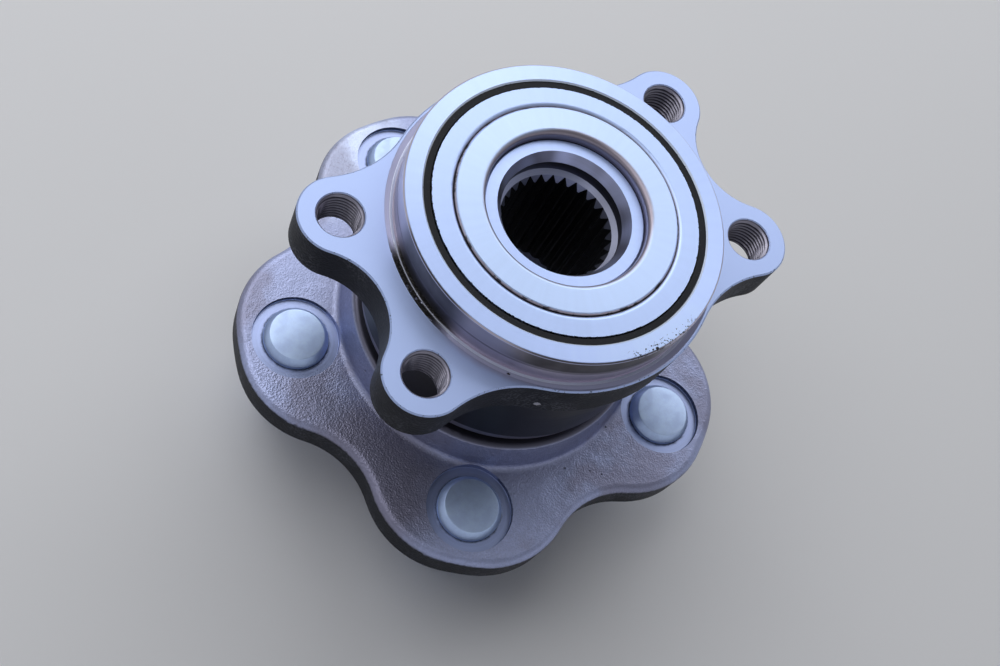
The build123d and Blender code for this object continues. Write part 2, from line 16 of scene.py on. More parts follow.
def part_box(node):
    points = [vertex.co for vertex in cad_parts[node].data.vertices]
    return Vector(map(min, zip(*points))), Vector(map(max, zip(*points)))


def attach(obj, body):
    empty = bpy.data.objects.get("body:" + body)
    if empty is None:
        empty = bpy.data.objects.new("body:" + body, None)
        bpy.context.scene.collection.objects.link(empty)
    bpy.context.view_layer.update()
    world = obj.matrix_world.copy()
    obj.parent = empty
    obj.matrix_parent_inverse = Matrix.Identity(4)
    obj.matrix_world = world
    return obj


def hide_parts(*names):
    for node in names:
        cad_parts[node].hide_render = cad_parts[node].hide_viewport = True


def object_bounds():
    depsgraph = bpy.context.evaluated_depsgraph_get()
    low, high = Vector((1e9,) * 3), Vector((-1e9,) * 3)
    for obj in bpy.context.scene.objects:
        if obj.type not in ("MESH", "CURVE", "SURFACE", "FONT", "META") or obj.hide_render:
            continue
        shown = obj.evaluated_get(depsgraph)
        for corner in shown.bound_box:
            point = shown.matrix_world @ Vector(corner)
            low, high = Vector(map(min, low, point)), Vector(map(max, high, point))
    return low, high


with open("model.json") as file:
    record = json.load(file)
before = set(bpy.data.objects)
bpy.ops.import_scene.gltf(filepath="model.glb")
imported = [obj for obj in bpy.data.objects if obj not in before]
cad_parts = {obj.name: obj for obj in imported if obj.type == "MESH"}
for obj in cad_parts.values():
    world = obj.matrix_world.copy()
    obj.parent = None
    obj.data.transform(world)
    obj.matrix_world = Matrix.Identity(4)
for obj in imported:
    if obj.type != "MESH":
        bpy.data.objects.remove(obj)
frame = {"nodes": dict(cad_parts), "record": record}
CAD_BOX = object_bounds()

bl_info = {
    "name": "Wheel Hub Bearing",
    "version": (1, 0, 0),
    "blender": (4, 5, 0),
    "location": "View3D > Sidebar > Hub Bearing",
    "description": "Finishes, threads, wear and stage for a driven wheel hub bearing",
    "category": "Object",
}

MM = 0.001
MOUNTS = {mount["name"]: mount for mount in frame["record"]["mounts"]}
STUDS = sorted(name for name in frame["nodes"] if name.startswith("wheel_stud_"))
BALLS = sorted(name for name in frame["nodes"] if "_ball_" in name)
CAGES = ("outboard_cage", "inboard_cage")
SEAL_CASES = ("outboard_seal_case", "inboard_seal_case")
SEAL_LIPS = ("outboard_seal_lips", "inboard_seal_lips")


# ---------------------------------------------------------------- sizes read from the frame
def mount_radius(name):
    """Radius of a round mount, in millimetres."""
    return MOUNTS[name]["dims"]["r_mm"]


def mount_height(name):
    """Height of a mount along the hub axis, in millimetres."""
    return MOUNTS[name]["pos_m"][2] / MM


def low(node):
    """Lowest point of a node, in millimetres."""
    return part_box(node)[0].z / MM


def high(node):
    """Highest point of a node, in millimetres."""
    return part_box(node)[1].z / MM


def reach(node):
    """Radius out to which a round node goes about the hub axis, in millimetres."""
    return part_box(node)[1].x / MM


def middle(node):
    """Middle of a node's box, in metres."""
    lowest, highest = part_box(node)
    return (lowest + highest) / 2


def half_width(node):
    """Half of a node's width, in millimetres."""
    lowest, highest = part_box(node)
    return (highest.x - lowest.x) / MM / 2


def knuckle_holes():
    """Centres of the four tapped holes on the knuckle face, in metres."""
    bolts = MOUNTS["knuckle_bolts"]
    half_x = bolts["dims"]["spacing_x_mm"] * MM / 2
    half_y = bolts["dims"]["spacing_y_mm"] * MM / 2
    face = MOUNTS["knuckle_face"]["pos_m"][2]
    return [Vector((x, y, face)) for x in (half_x, -half_x) for y in (half_y, -half_y)]


SPIGOT_R = mount_radius("knuckle_spigot")
SPLINE_TIP_R = mount_radius("axle_spline")
STUD_THREAD_R = MOUNTS["wheel_studs"]["dims"]["stud_r_mm"]
KNUCKLE_THREAD_R = MOUNTS["knuckle_bolts"]["dims"]["hole_r_mm"]
STUD_HEAD_R = half_width(STUDS[0])
INNER_RING_R = reach("inner_ring")
SLINGER_R = reach("inboard_slinger")
SEAL_BORE_R = reach("inboard_seal_case")
KNUCKLE_FACE = mount_height("knuckle_face")
INBOARD_END = high("outer_ring")
OUTBOARD_END = low("outer_ring")
SPINDLE_END = high("hub")

# Sizes that neither a mount nor a node's box gives, in millimetres.
EAR_DEPTH = 12.3
GROOVE_WIDTH = 2.2
GROOVE_DEPTH = 0.8
SPIGOT_LINE = 4.4  # height above the knuckle face of the fine line round the spigot
NOSE_RIM = 3.6  # width of the bright rim at the outer ring's outboard end
SPOTFACE_R = 12.3
SPOTFACE_FLOOR = 9.5
FLANGE_TOP = 11.0
BOSS_R = 42.2
BOSS_TOP = 21.0
INNER_BORE_R = 21.25
SPLINE_MOUTH_R = 17.75
SPLINE_FACE = 70.0

# Where the part is worn or stained, and where light and shade are painted on it: points in millimetres,
# and azimuths in degrees about the hub axis.
COARSE_LOBE = (-66.0, -8.0)
# Middle of the flange's waist, which is darkened as painted shade.
SHADED_WAIST = (-55.0, -26.0)
# Middle of the lobe that is lightened as a painted highlight.
LIT_LOBE = (-15.0, 65.0)
BARE_FLECK = (-24.3, -37.9, 60.2)
GRIT_SPECK = (-31.4, -30.1, KNUCKLE_FACE - 0.2)
FACE_DENT = (1.3, -41.5, INBOARD_END)
RING_CHIP = (14.62, 14.03, 79.4)
# Azimuth about which the painted sheen on ground faces is lightest.
PAINTED_SHEEN_AZIMUTH = 95.0
# Azimuths of the dark reflections and of the lighter reflection painted on the spigot wall.
DARK_REFLECTION_AZIMUTH = 184.0
UPPER_REFLECTION_AZIMUTH = 249.0
SPIGOT_LIGHT_AZIMUTH = 240.0
GRIT_AZIMUTH = 182.0
BEAD_AZIMUTH = 176.0
SMEAR_AZIMUTH = 243.0
NICKS_AZIMUTH = 276.0
# Azimuths of painted shade inside the bore: on the inner ring's edge and on the spline's end face.
BORE_SHADE_AZIMUTH = 18.0
SPLINE_SHADE_AZIMUTH = 330.0


# ---------------------------------------------------------------- settings
class HubFinishSettings(bpy.types.PropertyGroup):
    """Colours of the bare metals, the plating and the moulded parts."""

    ground: FloatVectorProperty(
        name="Ground steel",
        description="Faces that were ground: ring faces, spigot rim and spindle end",
        subtype="COLOR",
        default=(0.47, 0.59, 0.92),
    )
    milled: FloatVectorProperty(
        name="Milled steel",
        description="Satin face of the knuckle flange",
        subtype="COLOR",
        default=(0.40, 0.50, 0.79),
    )
    turned: FloatVectorProperty(
        name="Turned steel",
        description="Turned walls and the wheel side's faces",
        subtype="COLOR",
        default=(0.34, 0.38, 0.52),
    )
    forged: FloatVectorProperty(
        name="Forged skin",
        description="Shot-blasted skin of the hub forging",
        subtype="COLOR",
        default=(0.43, 0.485, 0.74),
    )
    # Also the colour of the painted shade on steep walls, in thread roots and round the stud heads.
    scale: FloatVectorProperty(
        name="Forging scale",
        description="Dark skin on the edges of the knuckle flange",
        subtype="COLOR",
        default=(0.018, 0.020, 0.029),
    )
    zinc: FloatVectorProperty(
        name="Zinc plating",
        description="Plating on the wheel studs",
        subtype="COLOR",
        default=(0.55, 0.70, 1.0),
    )
    rubber: FloatVectorProperty(
        name="Seal rubber",
        description="Moulded rubber of the seals",
        subtype="COLOR",
        default=(0.010, 0.011, 0.015),
    )
    nylon: FloatVectorProperty(
        name="Cage nylon",
        description="Glass-filled nylon of the ball cages",
        subtype="COLOR",
        default=(0.45, 0.33, 0.17),
    )


class HubThreadSettings(bpy.types.PropertyGroup):
    """Sizes of the M12 x 1.25 threads."""

    pitch: FloatProperty(
        name="Pitch",
        description="Distance between two turns, in millimetres",
        default=1.25,
        min=0.5,
    )
    depth: FloatProperty(
        name="Depth",
        description="Height of the thread, in millimetres",
        default=0.66,
        min=0.1,
    )
    run_out: FloatProperty(
        name="Run-out",
        description="Length over which a thread fades in, in millimetres",
        default=1.1,
        min=0.1,
    )
    rows: IntProperty(
        name="Rows per turn",
        description="Rings of mesh in each turn of thread",
        default=12,
        min=6,
    )
    columns: IntProperty(
        name="Columns",
        description="Segments of mesh round each thread",
        default=64,
        min=24,
    )


class HubStageSettings(bpy.types.PropertyGroup):
    """Camera, floor and lamps."""

    camera_place: FloatVectorProperty(
        name="Camera",
        description="Where the camera stands",
        subtype="XYZ",
        unit="LENGTH",
        default=(-0.16810, -0.09502, 0.34627),
    )
    camera_aim: FloatVectorProperty(
        name="Aim",
        description="Point at the middle of the view",
        subtype="XYZ",
        unit="LENGTH",
        default=(0.00116, -0.00435, 0.01100),
    )
    camera_roll: FloatProperty(
        name="Roll",
        description="Turn of the camera about its own axis",
        subtype="ANGLE",
        default=math.radians(35.91),
    )
    lens: FloatProperty(
        name="Lens",
        description="Focal length in millimetres on a sensor 36 mm wide",
        default=47.74,
    )
    floor: FloatVectorProperty(
        name="Floor",
        description="Colour of the floor",
        subtype="COLOR",
        default=(0.83, 0.84, 0.87),
    )
    surround: FloatVectorProperty(
        name="Surround",
        description="Colour of the studio's walls past the floor",
        subtype="COLOR",
        default=(0.60, 0.61, 0.64),
    )
    ceiling: FloatVectorProperty(
        name="Ceiling",
        description="Colour of the studio overhead",
        subtype="COLOR",
        default=(0.20, 0.205, 0.22),
    )
    key: FloatProperty(
        name="Key lamp",
        description="Power of the wide lamp behind the part",
        default=5.3,
        unit="POWER",
    )
    side: FloatProperty(
        name="Side lamp",
        description="Power of the soft lamp above the left side",
        default=3.7,
        unit="POWER",
    )
    ambient: FloatProperty(
        name="Ambient",
        description="Strength of the soft light that comes from all round",
        default=0.36,
    )


# ---------------------------------------------------------------- shader arithmetic
class Signal:
    """An output of a shader tree. Arithmetic on it adds Math nodes and gives another signal."""

    def __init__(self, tree, socket):
        self.tree = tree
        self.socket = socket

    def math(self, operation, *others):
        return self.tree.math(operation, self, *others)

    def __add__(self, other):
        return self.tree.math("ADD", self, other)

    def __radd__(self, other):
        return self.tree.math("ADD", other, self)

    def __sub__(self, other):
        return self.tree.math("SUBTRACT", self, other)

    def __rsub__(self, other):
        return self.tree.math("SUBTRACT", other, self)

    def __mul__(self, other):
        return self.tree.math("MULTIPLY", self, other)

    def __rmul__(self, other):
        return self.tree.math("MULTIPLY", other, self)

    def __truediv__(self, other):
        return self.tree.math("DIVIDE", self, other)

    def __rtruediv__(self, other):
        return self.tree.math("DIVIDE", other, self)

    def __pow__(self, other):
        return self.tree.math("POWER", self, other)

    def __abs__(self):
        return self.tree.math("ABSOLUTE", self)

    def rise(self, start, end):
        """0 below start and 1 above end, smooth between them."""
        inputs = {"Value": self, "From Min": start, "From Max": end}
        return self.tree.node("ShaderNodeMapRange", {"interpolation_type": "SMOOTHSTEP"}, inputs)

    def band(self, start, end, soft):
        """1 between start and end, fading to 0 over soft at both sides."""
        return self.rise(start - soft, start) * (1 - self.rise(end, end + soft))

    def between(self, smallest, largest):
        """The 0 to 1 signal stretched to another range."""
        return self * (largest - smallest) + smallest


class Tree:
    """A node tree, to which every node is added by one method."""

    def __init__(self, nodes):
        self.tree = nodes
        self.tree.nodes.clear()

    def node(self, kind, settings=None, inputs=None, output=0):
        """Adds a node: its settings first, then the values or links of its sockets."""
        made = self.tree.nodes.new(kind)
        for name, value in (settings or {}).items():
            setattr(made, name, value)
        for name, value in (inputs or {}).items():
            self.feed(made.inputs[name], value)
        return Signal(self, made.outputs[output] if made.outputs else None)

    def feed(self, socket, value):
        """Links a signal to a socket, or sets a plain value on it."""
        if isinstance(value, Signal):
            self.tree.links.new(value.socket, socket)
        elif hasattr(value, "__len__") and len(value) == 3 and socket.type == "RGBA":
            socket.default_value = (*value, 1.0)
        else:
            socket.default_value = value

    def math(self, operation, *values):
        """One Math node."""
        return self.node("ShaderNodeMath", {"operation": operation}, dict(enumerate(values)))

    def split(self, vector):
        """The three parts of a vector."""
        made = self.node("ShaderNodeSeparateXYZ", inputs={0: vector}).socket.node
        return [Signal(self, made.outputs[index]) for index in range(3)]

    def join(self, x, y, z):
        """A vector from three parts."""
        return self.node("ShaderNodeCombineXYZ", inputs={0: x, 1: y, 2: z})

    def blend(self, first, second, share):
        """A number that goes from first to second."""
        inputs = {0: share, 2: first, 3: second}
        return self.node("ShaderNodeMix", {"data_type": "FLOAT"}, inputs)

    def tint(self, first, second, share):
        """A colour that goes from first to second."""
        inputs = {0: share, 6: first, 7: second}
        return self.node("ShaderNodeMix", {"data_type": "RGBA"}, inputs, output=2)

    def shade(self, colour, amount):
        """A colour made darker or lighter by a factor."""
        grey = self.join(amount, amount, amount)
        settings = {"data_type": "RGBA", "blend_type": "MULTIPLY"}
        return self.node("ShaderNodeMix", settings, {0: 1.0, 6: colour, 7: grey}, output=2)

    def seen(self):
        """1 where the camera, metal or glass looks at this, and 0 where it only gives light."""
        path = self.node("ShaderNodeLightPath").socket.node
        kinds = ("Is Camera Ray", "Is Glossy Ray", "Is Transmission Ray")
        camera, metal, glass = (Signal(self, path.outputs[kind]) for kind in kinds)
        return camera.math("MAXIMUM", metal).math("MAXIMUM", glass)


class Shader(Tree):
    """A material's node tree, with the part's own coordinates in millimetres."""

    def __init__(self, name):
        self.material = bpy.data.materials.new(name)
        self.material.use_nodes = True
        super().__init__(self.material.node_tree)
        place = self.node("ShaderNodeTexCoord", output="Object")
        scaled = {"Vector": place, "Scale": 1 / MM}
        self.place = self.node("ShaderNodeVectorMath", {"operation": "SCALE"}, scaled)
        self.x, self.y, self.z = self.split(self.place)
        self.radius = (self.x * self.x + self.y * self.y) ** 0.5
        self.angle = self.y.math("ARCTAN2", self.x)
        self.up = self.split(self.node("ShaderNodeTexCoord", output="Normal"))[2]

    def noise(self, size, detail=3.0, roughness=0.55, at=None):
        """Cloudy 0 to 1 noise with features of a size in millimetres."""
        inputs = {
            "Vector": at or self.place,
            "Scale": 1 / size,
            "Detail": detail,
            "Roughness": roughness,
        }
        return self.node("ShaderNodeTexNoise", inputs=inputs)

    def cells(self, size):
        """Distance to the nearest of scattered points, about 0 to 1 over a cell's size."""
        inputs = {"Vector": self.place, "Scale": 1 / size}
        return self.node("ShaderNodeTexVoronoi", inputs=inputs, output="Distance")

    def dents(self, size):
        """Rounded dents with ridges between them, 0 in a dent and about 0.7 on a ridge."""
        inputs = {"Vector": self.place, "Scale": 1 / size, "Smoothness": 0.35}
        settings = {"feature": "SMOOTH_F1"}
        return self.node("ShaderNodeTexVoronoi", settings, inputs, output="Distance")

    def about(self, x, y):
        """Radius in millimetres about an axis through (x, y)."""
        return ((self.x - x) ** 2 + (self.y - y) ** 2) ** 0.5

    def near(self, azimuth, width):
        """1 within width degrees of an azimuth about the hub axis, and 0 past twice the width."""
        facing = (self.angle - math.radians(azimuth)).math("COSINE")
        return facing.rise(math.cos(math.radians(2 * width)), math.cos(math.radians(width)))

    def spot(self, x, y, z, size):
        """1 inside an uneven spot about a point, in millimetres."""
        away = ((self.x - x) ** 2 + (self.y - y) ** 2 + (self.z - z) ** 2) ** 0.5
        uneven = away + (self.noise(size * 0.5, detail=4.0) - 0.5) * size * 1.6
        return 1 - uneven.rise(size * 0.75, size * 1.05)

    def finish(self, layer):
        """Ends the tree in one Principled shader that wears the layer."""
        bump = {"Height": layer.relief, "Distance": MM, "Strength": 1.0}
        inputs = {
            "Base Color": layer.colour,
            "Roughness": layer.roughness,
            "Metallic": layer.metallic,
            "Normal": self.node("ShaderNodeBump", inputs=bump),
        }
        skin = self.node("ShaderNodeBsdfPrincipled", inputs=inputs)
        self.node("ShaderNodeOutputMaterial", inputs={"Surface": skin})
        return self.material


class Layer:
    """One finish: its colour, roughness, metallic share and relief, which is in millimetres."""

    def __init__(self, shader, colour, roughness, metallic, relief):
        self.shader = shader
        self.colour = colour
        self.roughness = roughness
        self.metallic = metallic
        self.relief = relief

    def under(self, other, mask):
        """This layer with another one over it where the mask is 1."""
        shader = self.shader
        return Layer(
            shader,
            shader.tint(self.colour, other.colour, mask),
            shader.blend(self.roughness, other.roughness, mask),
            shader.blend(self.metallic, other.metallic, mask),
            shader.blend(self.relief, other.relief, mask),
        )


# ---------------------------------------------------------------- finishes
def finishes():
    """The colours that the panel offers."""
    return bpy.context.scene.hub_finish


def ring_marks(shader, pitch):
    """Fine marks that a tool leaves in circles about the hub axis, 0 to 1."""
    track = shader.join(shader.radius / pitch, shader.z / pitch, shader.angle * 0.6)
    return shader.noise(1.0, detail=2.0, at=track)


def ground_layer(shader, colour=None, sheen_swing=0.4):
    """Bright satin steel off a grinding wheel, with painted sweeps of reflected light across its marks
    and a painted sheen, lighter about one azimuth and the one across from it and darker between.
    """
    marks = ring_marks(shader, 0.12)
    # Painted reflection: sweeps of light and dark round the circle of marks.
    track = shader.join(shader.angle * 16, shader.radius * 0.03, 0.0)
    reflection_sweep = shader.noise(1.0, detail=2.0, at=track)
    cloud = shader.noise(14.0, detail=2.0)
    # Painted sheen: brightness that rises and falls with the azimuth.
    painted_sheen = ((shader.angle - math.radians(PAINTED_SHEEN_AZIMUTH)) * 2).math("COSINE")
    light = marks * 0.06 + reflection_sweep * 0.10 + cloud * 0.06 + painted_sheen * 0.12 * sheen_swing + 0.93
    return Layer(
        shader,
        shader.shade(colour or finishes().ground, light),
        marks * 0.08 + cloud * 0.06 + 0.33,
        0.85,
        marks * 0.0014,
    )


def milled_layer(shader):
    """Even satin steel off a fine milling cutter."""
    grain = shader.noise(0.22, detail=2.0)
    cloud = shader.noise(18.0, detail=2.0)
    return Layer(
        shader,
        shader.shade(finishes().milled, grain * 0.06 + cloud * 0.10 + 0.92),
        cloud.between(0.36, 0.44),
        0.85,
        grain * 0.0022,
    )


def turned_layer(shader, along=None, pitch=0.16, colour=None, metallic=0.90):
    """Steel off a lathe, with feed marks at a pitch along the wall, or along a radius."""
    track = shader.join((along or shader.z) / pitch, shader.angle * 0.8, 0.0)
    marks = shader.noise(1.0, detail=2.0, at=track)
    cloud = shader.noise(9.0, detail=3.0)
    return Layer(
        shader,
        shader.shade(colour or finishes().turned, marks * 0.30 + cloud * 0.16 + 0.77),
        marks * 0.12 + cloud * 0.10 + 0.26,
        metallic,
        marks * 0.005,
    )


def forged_layer(shader):
    """Shot-blasted forging: small dents that run coarse in places, a few pits and brown rust, with
    painted shade darkening the waist and round the boss, and a painted highlight lightening one lobe.
    """
    cloud = shader.noise(12.0, detail=5.0, roughness=0.6)
    mottle = shader.noise(1.1, detail=4.0, roughness=0.7)
    uneven = shader.noise(9.0, detail=3.0) * 12

    lobe = shader.about(*COARSE_LOBE) + shader.noise(16.0, detail=2.0) * 26
    patches = shader.noise(30.0, detail=2.0).rise(0.50, 0.66)
    coarse_area = (1 - lobe.rise(26.0, 48.0)).math("MAXIMUM", patches * 0.35)
    fine = shader.dents(0.44)
    coarse = shader.dents(0.60)
    waves = shader.noise(2.4, detail=3.0) * 0.14 + shader.noise(8.0, detail=2.0) * 0.22
    pits = (1 - shader.cells(6.5).rise(0.035, 0.075)) * shader.noise(20.0).rise(0.46, 0.58)
    relief = fine * 0.060 + coarse * coarse_area.between(0.02, 0.085) + waves - pits * 0.25

    rust_and_shade = shader.noise(22.0, detail=4.0).rise(0.46, 0.64) * 0.55 + mottle.rise(0.50, 0.70) * 0.25
    # Painted shade: the brown tint laid over the rust patches also darkens round the boss and over the
    # waist.
    boss = 1 - shader.radius.rise(BOSS_R + 3.0, BOSS_R + 12.0)
    waist_shade = 1 - (shader.about(*SHADED_WAIST) + uneven).rise(18.0, 38.0)
    rust_and_shade = rust_and_shade.math("MAXIMUM", boss * 0.30).math("MAXIMUM", waist_shade * 0.80)
    # Painted highlight: one lobe tinted towards pale blue.
    lit_patch = 1 - (shader.about(*LIT_LOBE) + uneven).rise(16.0, 32.0)

    ridges = fine * 0.35 + coarse * coarse_area * 0.45
    light = cloud * 0.30 + ridges * 0.50 + mottle * 0.50 + 0.37
    colour = shader.shade(finishes().forged, light)
    colour = shader.tint(colour, (0.66, 0.75, 1.0), lit_patch * 0.85)
    colour = shader.tint(colour, (0.215, 0.20, 0.270), rust_and_shade)
    colour = shader.tint(colour, (0.05, 0.05, 0.06), pits * 0.80)
    return Layer(shader, colour, cloud.between(0.42, 0.50), 0.85, relief)


def scale_and_shade_layer(shader):
    """Dark forging skin with a sanded grain, also laid on as painted shade on walls, in thread roots
    and round the stud heads.
    """
    grain = shader.dents(0.60)
    cloud = shader.noise(5.0, detail=3.0)
    patches = shader.noise(11.0, detail=3.0).rise(0.44, 0.64)
    sanded = grain.rise(0.40, 0.72) * patches.between(0.04, 0.42)
    colour = shader.shade(finishes().scale, cloud * 0.9 + 0.45)
    colour = shader.tint(colour, (0.13, 0.135, 0.165), sanded)
    return Layer(shader, colour, cloud.between(0.52, 0.66), 0.95, grain * 0.08)


def plated_layer(shader):
    """Satin zinc with a cloudy patina."""
    patina = shader.noise(1.9, detail=4.0, roughness=0.65)
    bloom = shader.noise(4.2, detail=3.0).rise(0.42, 0.70)
    grain = shader.noise(0.25, detail=2.0)
    colour = shader.shade(finishes().zinc, patina * 0.26 + grain * 0.10 + 0.82)
    colour = shader.tint(colour, (0.42, 0.54, 0.86), bloom * 0.45)
    return Layer(
        shader,
        colour,
        patina.between(0.30, 0.46),
        bloom.between(0.74, 0.58),
        grain * 0.008 + patina * 0.020,
    )


def rubber_layer(shader):
    """Matt black rubber with a little dust."""
    grain = shader.noise(0.25, detail=3.0, roughness=0.7)
    dust = shader.noise(0.45, detail=2.0).rise(0.64, 0.74)
    colour = shader.tint(finishes().rubber, (0.09, 0.10, 0.12), dust * 0.5)
    return Layer(shader, colour, grain.between(0.50, 0.74), 0.55, grain * 0.03)


def nylon_layer(shader):
    """Moulded glass-filled nylon with a fibre bloom."""
    fibre = shader.noise(0.4, detail=4.0, roughness=0.7)
    colour = shader.shade(finishes().nylon, fibre * 0.3 + 0.85)
    return Layer(shader, colour, fibre.between(0.42, 0.60), 0.0, fibre * 0.01)


def grit_layer(shader):
    """Dark grease with grit in it."""
    smear = shader.noise(0.5, detail=4.0)
    colour = shader.tint((0.012, 0.011, 0.011), (0.085, 0.08, 0.08), smear.rise(0.46, 0.64))
    return Layer(shader, colour, smear.between(0.45, 0.65), 0.3, smear * 0.06)


def grease_layer(shader):
    """Smeared black grease."""
    smear = shader.noise(0.8, detail=3.0)
    colour = shader.shade((0.010, 0.010, 0.012), smear + 0.5)
    return Layer(shader, colour, smear.between(0.34, 0.60), 0.5, smear * 0.06)


def spigot_layer(shader):
    """Turned wall with a fine line round it, a painted lighter reflection on its lower band, painted
    dark reflections in streaky bands, and a painted highlight just under its top edge.
    """
    z = shader.z
    line = KNUCKLE_FACE + SPIGOT_LINE
    above = z.rise(line - 0.3, line + 1.2)
    # Painted reflection: the band below the fine line is lighter about one azimuth.
    light = shader.near(SPIGOT_LIGHT_AZIMUTH, 45.0) * (1 - above)
    tone = shader.tint((0.54, 0.51, 0.60), (0.66, 0.62, 0.75), light)
    # Painted reflection: dark streaky bands, one down the whole wall and one on the upper band only.
    dark_reflection = shader.near(DARK_REFLECTION_AZIMUTH, 11.0).math("MAXIMUM", shader.near(UPPER_REFLECTION_AZIMUTH, 17.0) * above)
    streak = shader.noise(1.0, detail=2.0, at=shader.join(shader.angle * 9, z * 0.2, 0.0))
    tone = shader.tint(tone, (0.06, 0.056, 0.065), dark_reflection * streak.between(0.80, 1.05))
    layer = turned_layer(shader, pitch=0.13, colour=tone)
    fine_line = turned_layer(shader, pitch=0.1, colour=(0.16, 0.15, 0.20))
    layer = layer.under(fine_line, z.band(line - 0.2, line + 0.2, 0.3) * 0.65)
    # Painted highlight: a bright band just under the spigot's top edge.
    painted_edge_band = turned_layer(shader, pitch=0.1, colour=(0.56, 0.60, 0.86))
    return layer.under(painted_edge_band, z.band(INBOARD_END - 0.60, INBOARD_END - 0.46, 0.06) * 0.8)


def groove_layer(shader, colour, lean):
    """Burnished steel whose skin leans outwards, as it does in the fillet of the relief groove."""
    marks = ring_marks(shader, 0.14)
    relief = marks * 0.003 - (shader.radius - SPIGOT_R) * lean
    return Layer(shader, shader.shade(colour, marks * 0.3 + 0.85), 0.42, 0.75, relief)


# ---------------------------------------------------------------- outer ring
def with_body(skin):
    """The skin with the turned body below the ears, painted near black as shade, its bright rim and a
    fleck of bare steel.
    """
    shader = skin.shader
    z = shader.z
    back = KNUCKLE_FACE - EAR_DEPTH
    # Painted shade: the body under the ears in near-black steel.
    body = turned_layer(shader, pitch=0.22, colour=(0.020, 0.020, 0.023), metallic=1.0)
    skin = skin.under(body, 1 - z.rise(back - 0.2, back))
    fleck = turned_layer(shader, colour=(0.50, 0.50, 0.56))
    skin = skin.under(fleck, shader.spot(*BARE_FLECK, 0.9))
    rim = turned_layer(shader, pitch=0.14, colour=(0.20, 0.19, 0.23))
    rim_top = OUTBOARD_END + NOSE_RIM
    return skin.under(rim, 1 - z.rise(rim_top - 0.3, rim_top))


def with_knuckle_face(skin):
    """The skin with the ears' milled faces, the walls of their holes and nicks along their edges."""
    shader = skin.shader
    z, up = shader.z, shader.up
    wall = turned_layer(shader, pitch=0.3, colour=(0.46, 0.48, 0.60))
    for hole in knuckle_holes():
        around = shader.about(hole.x / MM, hole.y / MM)
        inside = 1 - around.rise(KNUCKLE_THREAD_R + 0.35, KNUCKLE_THREAD_R + 0.40)
        skin = skin.under(wall, inside)
    flat = up.rise(0.45, 0.6) * z.band(KNUCKLE_FACE - 0.6, KNUCKLE_FACE + 0.2, 0.05)
    skin = skin.under(milled_layer(shader), flat)
    edge = up.rise(0.3, 0.5) * (1 - up.rise(0.85, 0.95))
    edge = edge * z.band(KNUCKLE_FACE - 0.6, KNUCKLE_FACE, 0.1)
    nicks = shader.noise(0.7, detail=3.0).rise(0.60, 0.68)
    return skin.under(grease_layer(shader), nicks * edge * 0.8)


def with_spigot(skin):
    """The skin with the spigot's wall."""
    shader = skin.shader
    z, radius = shader.z, shader.radius
    wall = radius.rise(SPIGOT_R - 1.0, SPIGOT_R - 0.9) * z.rise(KNUCKLE_FACE - 1.1, KNUCKLE_FACE - 0.95)
    wall = wall * (1 - radius.rise(SPIGOT_R + 0.02, SPIGOT_R + 0.08))
    return skin.under(spigot_layer(shader), wall)


def with_groove(skin):
    """The skin with a smear of oil on the face round the spigot, and the relief groove, its foot
    painted near white as a bright highlight.
    """
    shader = skin.shader
    z, radius = shader.z, shader.radius
    outwards = radius + shader.noise(5.0, detail=3.0) * 2.0
    smear = (1 - outwards.rise(SPIGOT_R + 2.6, SPIGOT_R + 5.2)) * shader.near(SMEAR_AZIMUTH, 26.0)
    smear = smear * shader.up.rise(0.8, 0.9) * z.band(KNUCKLE_FACE - 0.3, KNUCKLE_FACE + 0.2, 0.05)
    skin = skin.under(turned_layer(shader, along=radius, colour=(0.34, 0.32, 0.43)), smear * 0.8)
    inside = radius.band(SPIGOT_R + 0.03, SPIGOT_R + GROOVE_WIDTH - 0.06, 0.04)
    inside = inside * z.band(KNUCKLE_FACE - 1.0, KNUCKLE_FACE - 0.02, 0.02)
    skin = skin.under(groove_layer(shader, (0.44, 0.45, 0.66), lean=1.9), inside)
    bottom = KNUCKLE_FACE - GROOVE_DEPTH
    # Painted highlight: the groove's foot in near-white steel, as the bright line of its fillet.
    foot_highlight = inside * (1 - z.rise(bottom + 0.02, bottom + 0.10))
    return skin.under(groove_layer(shader, (0.78, 0.82, 1.0), lean=1.25), foot_highlight)


def with_grit(skin):
    """The skin with gritty grease in part of the groove, and a thin bright bead left through it."""
    shader = skin.shader
    z, radius = shader.z, shader.radius
    grit = grit_layer(shader)
    bead = radius.band(SPIGOT_R + 0.2, SPIGOT_R + 0.45, 0.1)
    bead = bead * (shader.near(BEAD_AZIMUTH, 6.0) * 0.4 + 0.45)
    smeared = shader.noise(1.6, detail=4.0).rise(0.30, 0.42) * shader.near(GRIT_AZIMUTH, 10.0)
    smeared = smeared * radius.band(SPIGOT_R - 0.5, SPIGOT_R + GROOVE_WIDTH, 0.2) * (1 - bead)
    smeared = smeared * z.band(KNUCKLE_FACE - 1.0, KNUCKLE_FACE + 0.4, 0.2)
    skin = skin.under(grit, smeared)
    return skin.under(grit, shader.spot(*GRIT_SPECK, 0.5))


